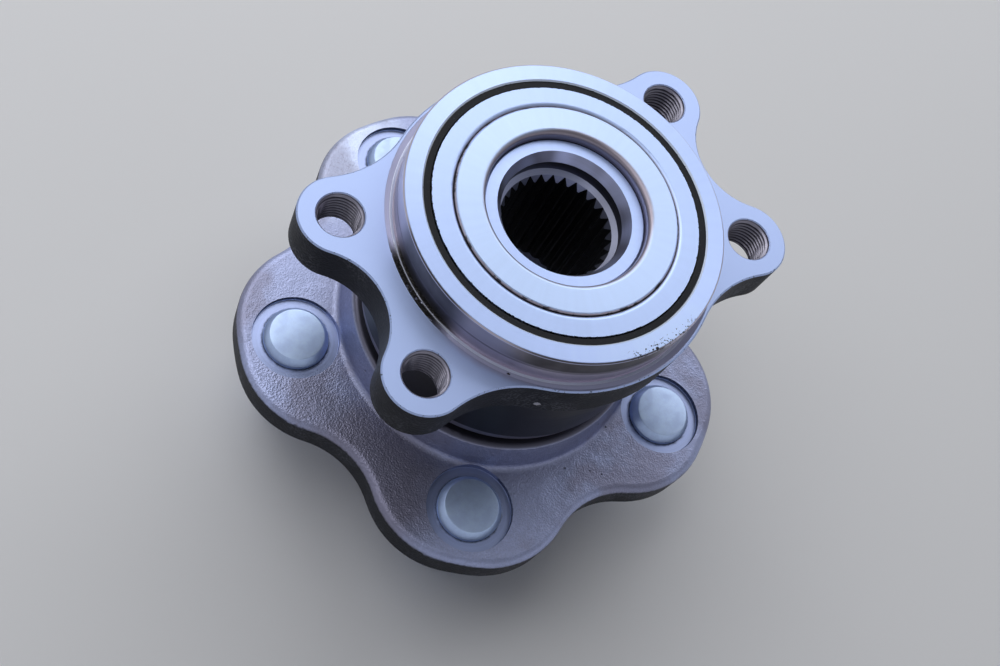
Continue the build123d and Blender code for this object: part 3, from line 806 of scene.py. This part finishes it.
def with_inboard_face(skin):
    """The skin with the ground end face and its painted sheen at full swing, the bevel inside it
    painted pale as a highlight, and nicks at its outer edge.
    """
    shader = skin.shader
    z, radius = shader.z, shader.radius
    # The end face carries the painted sheen at its strongest.
    face = ground_layer(shader, sheen_swing=1.0)
    skin = skin.under(face, z.rise(INBOARD_END - 0.14, INBOARD_END - 0.08))
    # Painted highlight: the bevel at the seal's bore in pale steel.
    bevel = radius.band(SEAL_BORE_R + 0.02, SEAL_BORE_R + 0.36, 0.04)
    bevel = bevel * (1 - shader.up.rise(0.88, 0.96)) * z.rise(INBOARD_END - 0.45, INBOARD_END - 0.40)
    skin = skin.under(Layer(shader, (0.70, 0.80, 1.0), 0.4, 0.3, 0.0), bevel)
    nicks = shader.noise(0.55, detail=2.0) + radius.rise(SPIGOT_R - 3.0, SPIGOT_R) * 0.10
    nicks = nicks.rise(0.66, 0.69) * shader.near(NICKS_AZIMUTH, 9.0)
    nicks = nicks * z.rise(INBOARD_END - 0.7, INBOARD_END - 0.5)
    nicks = nicks.math("MAXIMUM", shader.spot(*FACE_DENT, 0.5))
    return skin.under(grease_layer(shader), nicks * radius.rise(SPIGOT_R - 2.6, SPIGOT_R - 2.2))


def with_seal_bore(skin):
    """The skin with ground raceways inside, and ragged rubber at the mouth of the seal's bore."""
    shader = skin.shader
    z, radius = shader.z, shader.radius
    inside = 1 - radius.rise(SEAL_BORE_R + 0.5, SEAL_BORE_R + 0.55)
    race = ground_layer(shader, colour=(0.40, 0.41, 0.46))
    skin = skin.under(race, inside * (1 - z.rise(INBOARD_END - 0.9, INBOARD_END - 0.8)))
    ragged = shader.noise(0.9, detail=3.0, roughness=0.6) * 0.8 + SEAL_BORE_R - 0.50
    flash = 1 - (radius - ragged).rise(0.0, 0.06)
    return skin.under(rubber_layer(shader), flash * z.rise(INBOARD_END - 1.5, INBOARD_END - 1.4))


def outer_ring_material():
    """Dark scale on the ears' edges, partly forging skin and partly painted shade, with the machined
    and worn places and the painted light and shade over it in turn.
    """
    shader = Shader("outer_ring_steel")
    skin = scale_and_shade_layer(shader)
    skin = with_body(skin)
    skin = with_knuckle_face(skin)
    skin = with_spigot(skin)
    skin = with_groove(skin)
    skin = with_grit(skin)
    skin = with_inboard_face(skin)
    return shader.finish(with_seal_bore(skin))


def thread_material():
    """Tapped steel with painted highlights on the crests and at the mouth, and painted shade between
    the crests.
    """
    shader = Shader("tapped_thread")
    bright = turned_layer(shader, pitch=0.3, colour=(0.36, 0.35, 0.43))
    dark = turned_layer(shader, pitch=0.3, colour=(0.07, 0.067, 0.085))
    # Painted highlight on the crests and the mouth; the rest stays dark as painted shade.
    crest = 1 - shader.radius.rise(KNUCKLE_THREAD_R - 0.60, KNUCKLE_THREAD_R - 0.25)
    mouth = shader.z.rise(-1.7, -1.1)
    return shader.finish(dark.under(bright, crest.math("MAXIMUM", mouth) * 0.85))


# ---------------------------------------------------------------- hub and studs
def with_flange_faces(skin):
    """The skin with the turned wheel face, and the spot-faced seats darkened round the heads as painted
    shade.
    """
    shader = skin.shader
    z = shader.z
    wheel_face = turned_layer(shader, along=shader.radius, pitch=0.20, colour=(0.40, 0.41, 0.47))
    skin = skin.under(wheel_face, 1 - z.rise(0.6, 0.7))
    seat_shade = scale_and_shade_layer(shader)
    uneven = shader.noise(2.0)
    for stud in STUDS:
        centre = middle(stud) / MM
        around = shader.about(centre.x, centre.y)
        seat = turned_layer(shader, along=around, pitch=0.25, colour=(0.41, 0.49, 0.78))
        here = 1 - around.rise(SPOTFACE_R - 0.2, SPOTFACE_R + 0.06)
        here = here * z.band(SPOTFACE_FLOOR - 0.1, FLANGE_TOP - 0.1, 0.1)
        skin = skin.under(seat, here)
        # Painted shade: a dark ring on each seat round the stud's head.
        head_shade = 1 - (around + uneven).rise(STUD_HEAD_R + 0.5, STUD_HEAD_R + 1.3)
        skin = skin.under(seat_shade, here * head_shade * 0.8)
    return skin


def with_spindle(skin):
    """The skin with the top of the boss darkened as painted shade, and ground steel above it."""
    shader = skin.shader
    z = shader.z
    # Painted shade: dark steel at the top of the boss, under the outer ring.
    neck_shade = turned_layer(shader, pitch=0.2, colour=(0.10, 0.10, 0.14))
    skin = skin.under(neck_shade, z.rise(BOSS_TOP - 1.2, BOSS_TOP - 0.2) * shader.radius.rise(30.0, 31.0))
    return skin.under(ground_layer(shader), z.rise(BOSS_TOP + 0.4, BOSS_TOP + 0.5))


def with_bore(skin):
    """The skin with the coned mouth and its painted bars of reflection, the spline's end face with
    painted shade on one side, the undercut, and the tooth walls painted near black as shade.
    """
    shader = skin.shader
    z, radius, up = shader.z, shader.radius, shader.up
    # Painted reflection: light and dark bars round the cone.
    track = shader.join(shader.angle * 1.3, 0.0, z * 0.04)
    reflection_bars = shader.noise(1.0, detail=1.0, at=track).rise(0.40, 0.60)
    cone = shader.tint((0.26, 0.27, 0.37), (0.56, 0.62, 0.90), reflection_bars)
    inside = (1 - radius.rise(SPLINE_MOUTH_R, SPLINE_MOUTH_R + 0.05)) * (1 - up.rise(0.98, 0.99))
    skin = skin.under(turned_layer(shader, pitch=0.18, colour=cone), inside)
    # Painted shade: the spline's end face darker about one azimuth.
    shade = shader.near(SPLINE_SHADE_AZIMUTH, 32.0)
    face = shader.tint((0.34, 0.37, 0.53), (0.16, 0.17, 0.23), shade)
    within = 1 - radius.rise(SPLINE_MOUTH_R - 1.0, SPLINE_MOUTH_R - 0.9)
    within = within * (1 - z.rise(SPLINE_FACE + 1.0, SPLINE_FACE + 1.2))
    skin = skin.under(turned_layer(shader, along=radius, pitch=0.18, colour=face), within)
    walls = (1 - radius.rise(SPLINE_MOUTH_R - 0.3, SPLINE_MOUTH_R - 0.2)) * (1 - up.rise(0.15, 0.35))
    undercut = turned_layer(shader, pitch=0.18, colour=(0.13, 0.13, 0.17))
    skin = skin.under(undercut, walls * z.band(SPLINE_FACE, SPLINE_FACE + 4.45, 0.05))
    # Painted shade: the tooth walls in near-black grease colour, dark as the shade between the teeth.
    teeth = walls * (1 - radius.rise(SPLINE_TIP_R + 1.3, SPLINE_TIP_R + 1.5))
    return skin.under(grease_layer(shader), teeth)


def hub_material():
    """Forged skin with dark scale on its steep sides as painted shade, and the machined faces over it.
    """
    shader = Shader("hub_steel")
    skin = forged_layer(shader)
    # Painted shade: steep sides darkened with the scale layer, only lightly inside the boss.
    steep_shade = 1 - (abs(shader.up) + shader.noise(1.2) * 0.3).rise(0.25, 0.60)
    rim = shader.radius.rise(BOSS_R + 5.0, BOSS_R + 6.0)
    skin = skin.under(scale_and_shade_layer(shader), steep_shade * rim.between(0.20, 1.0))
    skin = with_flange_faces(skin)
    skin = with_spindle(skin)
    return shader.finish(with_bore(skin))


def stud_material():
    """Zinc plating, with painted shade in the roots of the thread."""
    shader = Shader("plated_studs")
    # Painted shade: the thread's roots darkened with the scale layer.
    threaded = 1 - shader.z.rise(-0.5, 0.5)
    root = 1 - shader.radius.rise(STUD_THREAD_R - 0.62, STUD_THREAD_R - 0.15)
    return shader.finish(plated_layer(shader).under(scale_and_shade_layer(shader), root * threaded * 0.7))


# ---------------------------------------------------------------- rings, seals, balls and cages
def inner_ring_material():
    """Ground ring with a darker turned bore whose dark reaches onto the rounded edge as painted shade,
    widest about one azimuth, a dark line of oil at its outer edge and at the spindle, and a small chip.
    """
    shader = Shader("inner_ring_steel")
    z, radius = shader.z, shader.radius
    oil = grease_layer(shader)
    skin = ground_layer(shader, colour=(0.50, 0.63, 0.90))
    # Painted shade: the dark bore wall reaches onto the rounded edge, furthest about one azimuth.
    painted_edge_band = radius - shader.near(BORE_SHADE_AZIMUTH, 32.0) * 0.6
    bore = 1 - painted_edge_band.rise(INNER_BORE_R + 0.35, INNER_BORE_R + 1.35)
    skin = skin.under(turned_layer(shader, pitch=0.1, colour=(0.30, 0.27, 0.32)), bore)
    edge = (radius + shader.noise(1.6, detail=3.0) * 0.4).rise(INNER_RING_R - 0.15, INNER_RING_R)
    skin = skin.under(turned_layer(shader, colour=(0.42, 0.38, 0.45)), edge)
    oily_edge = edge * shader.noise(2.6, detail=3.0).rise(0.52, 0.60) * 0.85
    seam = bore * (1 - z.rise(SPINDLE_END - 0.35, SPINDLE_END - 0.05))
    skin = skin.under(oil, seam.math("MAXIMUM", oily_edge))
    return shader.finish(skin.under(oil, shader.spot(*RING_CHIP, 0.55)))


def slinger_material():
    """Pressed sheet with a bright face, a darker bend and ragged rubber at its rim."""
    shader = Shader("slinger_steel")
    radius = shader.radius
    skin = ground_layer(shader, colour=(0.46, 0.58, 0.88))
    bend = Layer(shader, (0.38, 0.40, 0.54), 0.42, 0.60, 0.0)
    skin = skin.under(bend, 1 - radius.rise(INNER_RING_R + 0.35, INNER_RING_R + 0.75))
    uneven = radius - shader.noise(1.3, detail=3.0) * 0.35
    seam = 1 - uneven.rise(INNER_RING_R + 0.05, INNER_RING_R + 0.20)
    skin = skin.under(grease_layer(shader), seam * 0.9)
    ragged = shader.noise(0.8, detail=3.0, roughness=0.6) * 0.8 + SLINGER_R - 0.44
    return shader.finish(skin.under(rubber_layer(shader), (radius - ragged).rise(0.0, 0.06)))


def plain_material(name, finish, **options):
    """A material that wears one finish all over."""
    shader = Shader(name)
    return shader.finish(finish(shader, **options))


def wear(node, material):
    """Puts a material on a node of the frame."""
    mesh = frame["nodes"][node].data
    mesh.materials.clear()
    mesh.materials.append(material)


# ---------------------------------------------------------------- meshes
SHARP_EDGE = math.radians(35)


def thread_cut(phase):
    """Share of the full depth cut at a place within one turn: 0 on the crest and 1 at the root."""
    crest, root = 0.14, 0.20
    away = 1 - abs(2 * (phase % 1.0) - 1)
    return min(1.0, max(0.0, (away - crest) / (1 - crest - root)))


def fade(height, lowest, highest, length):
    """1 inside a stretch, falling to 0 at its two ends over a length."""
    return max(0.0, min(1.0, (height - lowest) / length, (highest - height) / length))


def ring(mesh, height, radii):
    """A ring of vertices about the Z axis, from its height and its radii in millimetres."""
    vertices = []
    for column, radius in enumerate(radii):
        turn = 2 * math.pi * column / len(radii)
        place = (radius * math.cos(turn), radius * math.sin(turn), height)
        vertices.append(mesh.verts.new([part * MM for part in place]))
    return vertices


def bridge(mesh, upper, lower):
    """A band of faces between two rings of vertices."""
    for column in range(len(upper)):
        following = (column + 1) % len(upper)
        mesh.faces.new((upper[column], lower[column], lower[following], upper[following]))


def stored(mesh, name):
    """A mesh made ready to show: outward normals, and smooth except at sharp edges."""
    bmesh.ops.recalc_face_normals(mesh, faces=mesh.faces)
    for face in mesh.faces:
        face.smooth = True
    for edge in mesh.edges:
        edge.smooth = edge.calc_face_angle(math.pi) < SHARP_EDGE
    data = bpy.data.meshes.new(name)
    mesh.to_mesh(data)
    mesh.free()
    return data


def placed(data, name, place, material, body):
    """An object of a mesh, on a body of the frame."""
    piece = bpy.data.objects.new(name, data)
    bpy.context.scene.collection.objects.link(piece)
    piece.matrix_world = Matrix.Translation(place)
    if not data.materials:
        data.materials.append(material)
    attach(piece, body)
    return piece


def stud_head(columns):
    """Rings of a stud's bevelled head and shank, from the top down to the thread."""
    top = high(STUDS[0])
    flat_r, bevel, thickness = 7.55, 2.2, 3.6
    shank_r, shank_end = STUD_THREAD_R + 0.45, 1.5
    profile = [
        (top, 0.02),
        (top, flat_r - 0.5),
        (top - 0.06, flat_r),
        (top - 0.3, flat_r + 0.25),
        (top - bevel, STUD_HEAD_R - 0.12),
        (top - bevel - 0.2, STUD_HEAD_R),
        (top - thickness + 0.1, STUD_HEAD_R),
        (top - thickness, STUD_HEAD_R - 0.1),
        (top - thickness, shank_r),
        (shank_end, shank_r),
        (shank_end - 0.45, STUD_THREAD_R),
    ]
    return [(height, [radius] * columns) for height, radius in profile]


def stud_thread(settings, start, end):
    """Rings of a stud's thread, which fades in at both ends and is bevelled at the lower one."""
    bevel = 1.3
    columns = settings.columns
    step = settings.pitch / settings.rows
    rings = []
    for row in range(int((start - end) / settings.pitch * settings.rows) + 1):
        height = start - row * step
        depth = settings.depth * fade(height, end, start, settings.run_out)
        widest = STUD_THREAD_R - max(0.0, end + bevel - height)
        cuts = (thread_cut(height / settings.pitch - column / columns) for column in range(columns))
        rings.append((height, [min(STUD_THREAD_R - depth * cut, widest) for cut in cuts]))
    return rings


def stud_mesh(settings):
    """A wheel stud on its own axis, from the head's top to the tip, as a closed mesh."""
    tip, tip_r, tip_length = low(STUDS[0]), 4.7, 2.6
    end = tip + tip_length
    tip_profile = [(end, tip_r), (tip + 0.35, tip_r), (tip, tip_r - 0.35), (tip, 0.02)]
    mesh = bmesh.new()
    rings = stud_head(settings.columns) + stud_thread(settings, 0.0, end)
    rings += [(height, [radius] * settings.columns) for height, radius in tip_profile]
    rows = [ring(mesh, height, radii) for height, radii in rings]
    for upper, lower in zip(rows, rows[1:]):
        bridge(mesh, upper, lower)
    mesh.faces.new(rows[0])
    mesh.faces.new(list(reversed(rows[-1])))
    return stored(mesh, "wheel_stud_mesh")


def thread_sleeve_mesh(settings):
    """The tapped wall of a knuckle hole, from its mouth downwards, as a closed mesh."""
    columns = settings.columns
    inset, half_wall = 0.25, 0.02
    length = EAR_DEPTH - 2 * inset
    rows = int(length / settings.pitch * settings.rows)
    mesh = bmesh.new()
    inner, outer = [], []
    for row in range(rows + 1):
        height = -inset - row * length / rows
        rise = settings.depth * fade(height, inset - EAR_DEPTH, -inset, settings.run_out)
        cuts = (thread_cut(height / settings.pitch - column / columns) for column in range(columns))
        crests = [KNUCKLE_THREAD_R - half_wall - rise * (1 - cut) for cut in cuts]
        inner.append(ring(mesh, height, crests))
        outer.append(ring(mesh, height, [KNUCKLE_THREAD_R + half_wall] * columns))
    pairs = [*zip(inner, inner[1:]), *zip(outer, outer[1:])]
    for upper, lower in pairs + [(inner[0], outer[0]), (inner[-1], outer[-1])]:
        bridge(mesh, upper, lower)
    return stored(mesh, "tapped_thread_mesh")


# ---------------------------------------------------------------- operators
class HUB_OT_hub(bpy.types.Operator):
    """Finish the forged hub"""

    bl_idname = "hub_bearing.hub"
    bl_label = "Hub"

    def execute(self, context):
        wear("hub", hub_material())
        return {"FINISHED"}


class HUB_OT_outer_ring(bpy.types.Operator):
    """Finish the outer ring"""

    bl_idname = "hub_bearing.outer_ring"
    bl_label = "Outer ring"

    def execute(self, context):
        wear("outer_ring", outer_ring_material())
        return {"FINISHED"}


class HUB_OT_knuckle_threads(bpy.types.Operator):
    """Cut the threads of the four knuckle holes"""

    bl_idname = "hub_bearing.knuckle_threads"
    bl_label = "Knuckle threads"

    def execute(self, context):
        data = thread_sleeve_mesh(context.scene.hub_thread)
        material = thread_material()
        for number, hole in enumerate(knuckle_holes(), start=1):
            name = f"knuckle_thread_{number}"
            placed(data, name, hole, material, "knuckle_side")
        return {"FINISHED"}


class HUB_OT_studs(bpy.types.Operator):
    """Make the five threaded wheel studs"""

    bl_idname = "hub_bearing.studs"
    bl_label = "Wheel studs"

    def execute(self, context):
        data = stud_mesh(context.scene.hub_thread)
        material = stud_material()
        for node in STUDS:
            centre = middle(node)
            place = Vector((centre.x, centre.y, 0.0))
            piece = placed(data, f"threaded_{node}", place, material, "wheel_side")
            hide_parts(node)
        return {"FINISHED"}


class HUB_OT_rings(bpy.types.Operator):
    """Finish the inner ring and the slinger"""

    bl_idname = "hub_bearing.rings"
    bl_label = "Inner ring and slinger"

    def execute(self, context):
        wear("inner_ring", inner_ring_material())
        wear("inboard_slinger", slinger_material())
        return {"FINISHED"}


class HUB_OT_seals(bpy.types.Operator):
    """Finish the seals"""

    bl_idname = "hub_bearing.seals"
    bl_label = "Seals"

    def execute(self, context):
        sheet = plain_material("seal_sheet", ground_layer, colour=(0.42, 0.44, 0.50))
        rubber = plain_material("seal_rubber", rubber_layer)
        for node in SEAL_CASES:
            wear(node, sheet)
        for node in SEAL_LIPS:
            wear(node, rubber)
        return {"FINISHED"}


class HUB_OT_rolling_set(bpy.types.Operator):
    """Finish the balls and their cages"""

    bl_idname = "hub_bearing.rolling_set"
    bl_label = "Balls and cages"

    def execute(self, context):
        steel = plain_material("ball_steel", ground_layer, colour=(0.74, 0.75, 0.78))
        nylon = plain_material("cage_nylon", nylon_layer)
        for node in BALLS:
            wear(node, steel)
        for node in CAGES:
            wear(node, nylon)
        return {"FINISHED"}


# ---------------------------------------------------------------- stage
def floor_material(colour):
    """Pale floor that fades into the surround away from the part."""
    shader = Shader("studio_floor")
    cloud = shader.noise(260.0, detail=2.0)
    shown = shader.shade(colour, cloud * 0.04 + 0.98)
    skin = shader.node("ShaderNodeBsdfPrincipled", inputs={"Base Color": shown, "Roughness": 0.7})
    clear = shader.node("ShaderNodeBsdfTransparent")
    fading = shader.radius.rise(240.0, 800.0) * shader.seen()
    surface = shader.node("ShaderNodeMixShader", inputs={0: fading, 1: skin, 2: clear})
    shader.node("ShaderNodeOutputMaterial", inputs={"Surface": surface})
    return shader.material


def add_floor(colour):
    """Flat floor under the studs' tips."""
    half = 4.0
    mesh = bmesh.new()
    bmesh.ops.create_grid(mesh, x_segments=8, y_segments=8, size=half)
    data = bpy.data.meshes.new("studio_floor")
    mesh.to_mesh(data)
    mesh.free()
    data.materials.append(floor_material(colour))
    floor = bpy.data.objects.new("studio_floor", data)
    floor.location.z = CAD_BOX[0].z
    bpy.context.scene.collection.objects.link(floor)


def set_world(settings):
    """Soft light from all round, at its full paleness only where the camera or metal sees it."""
    world = bpy.data.worlds.new("studio_surround")
    bpy.context.scene.world = world
    world.use_nodes = True
    tree = Tree(world.node_tree)
    overhead = tree.split(tree.node("ShaderNodeTexCoord", output="Generated"))[2]
    colour = tree.tint(settings.surround, settings.ceiling, overhead.rise(0.2, 0.9))
    strength = tree.blend(settings.ambient, 1.0, tree.seen())
    background = tree.node("ShaderNodeBackground", inputs={"Color": colour, "Strength": strength})
    tree.node("ShaderNodeOutputWorld", inputs={"Surface": background})


def add_lamp(name, azimuth, elevation, width, height, power):
    """Area lamp a metre away that faces the middle of the part."""
    data = bpy.data.lights.new(name, "AREA")
    data.shape = "RECTANGLE"
    data.size = width
    data.size_y = height
    data.energy = power
    lamp = bpy.data.objects.new(name, data)
    bpy.context.scene.collection.objects.link(lamp)
    turn, rise = math.radians(azimuth), math.radians(elevation)
    way = Vector((math.cos(turn) * math.cos(rise), math.sin(turn) * math.cos(rise), math.sin(rise)))
    lamp.location = (CAD_BOX[0] + CAD_BOX[1]) / 2 + way
    lamp.rotation_euler = way.to_track_quat("Z", "Y").to_euler()


def add_camera(settings):
    """Camera that looks at its aim, rolled about its own axis."""
    data = bpy.data.cameras.new("camera")
    data.lens = settings.lens
    data.sensor_width = 36.0
    data.clip_start = 0.01
    camera = bpy.data.objects.new("camera", data)
    bpy.context.scene.collection.objects.link(camera)
    camera.location = settings.camera_place
    look = Vector(settings.camera_aim) - camera.location
    level = look.to_track_quat("-Z", "Y")
    camera.rotation_mode = "QUATERNION"
    camera.rotation_quaternion = level @ Quaternion((0.0, 0.0, 1.0), settings.camera_roll)
    bpy.context.scene.camera = camera


class HUB_OT_stage(bpy.types.Operator):
    """Set the floor, the lamps, the surround and the camera"""

    bl_idname = "hub_bearing.stage"
    bl_label = "Stage"

    def execute(self, context):
        settings = context.scene.hub_stage
        add_floor(settings.floor)
        set_world(settings)
        add_lamp("key_lamp", azimuth=52.0, elevation=44.0, width=1.7, height=0.7, power=settings.key)
        add_lamp("side_lamp", azimuth=123.0, elevation=62.0, width=0.9, height=0.9, power=settings.side)
        add_camera(settings)
        context.scene.view_settings.view_transform = "Standard"
        return {"FINISHED"}


# ---------------------------------------------------------------- panel and registration
class HUB_PT_panel(bpy.types.Panel):
    """Lists the steps that dress the part"""

    bl_label = "Hub Bearing"
    bl_idname = "HUB_PT_panel"
    bl_space_type = "VIEW_3D"
    bl_region_type = "UI"
    bl_category = "Hub Bearing"

    def draw(self, context):
        for step in STEPS:
            self.layout.operator(step.bl_idname)
        for name in SETTINGS:
            settings = getattr(context.scene, name)
            box = self.layout.box()
            for key in settings.__annotations__:
                box.prop(settings, key)


SETTINGS = {
    "hub_finish": HubFinishSettings,
    "hub_thread": HubThreadSettings,
    "hub_stage": HubStageSettings,
}
STEPS = (
    HUB_OT_hub,
    HUB_OT_studs,
    HUB_OT_rings,
    HUB_OT_outer_ring,
    HUB_OT_knuckle_threads,
    HUB_OT_seals,
    HUB_OT_rolling_set,
    HUB_OT_stage,
)


def register():
    for kind in (*SETTINGS.values(), *STEPS, HUB_PT_panel):
        bpy.utils.register_class(kind)
    for name, kind in SETTINGS.items():
        setattr(bpy.types.Scene, name, PointerProperty(type=kind))


def unregister():
    for name in SETTINGS:
        delattr(bpy.types.Scene, name)
    for kind in reversed((*SETTINGS.values(), *STEPS, HUB_PT_panel)):
        bpy.utils.unregister_class(kind)


def main():
    """Dresses the part step by step."""
    register()
    for step in STEPS:
        group, name = step.bl_idname.split(".")
        getattr(getattr(bpy.ops, group), name)()


if __name__ == "__main__":
    main()
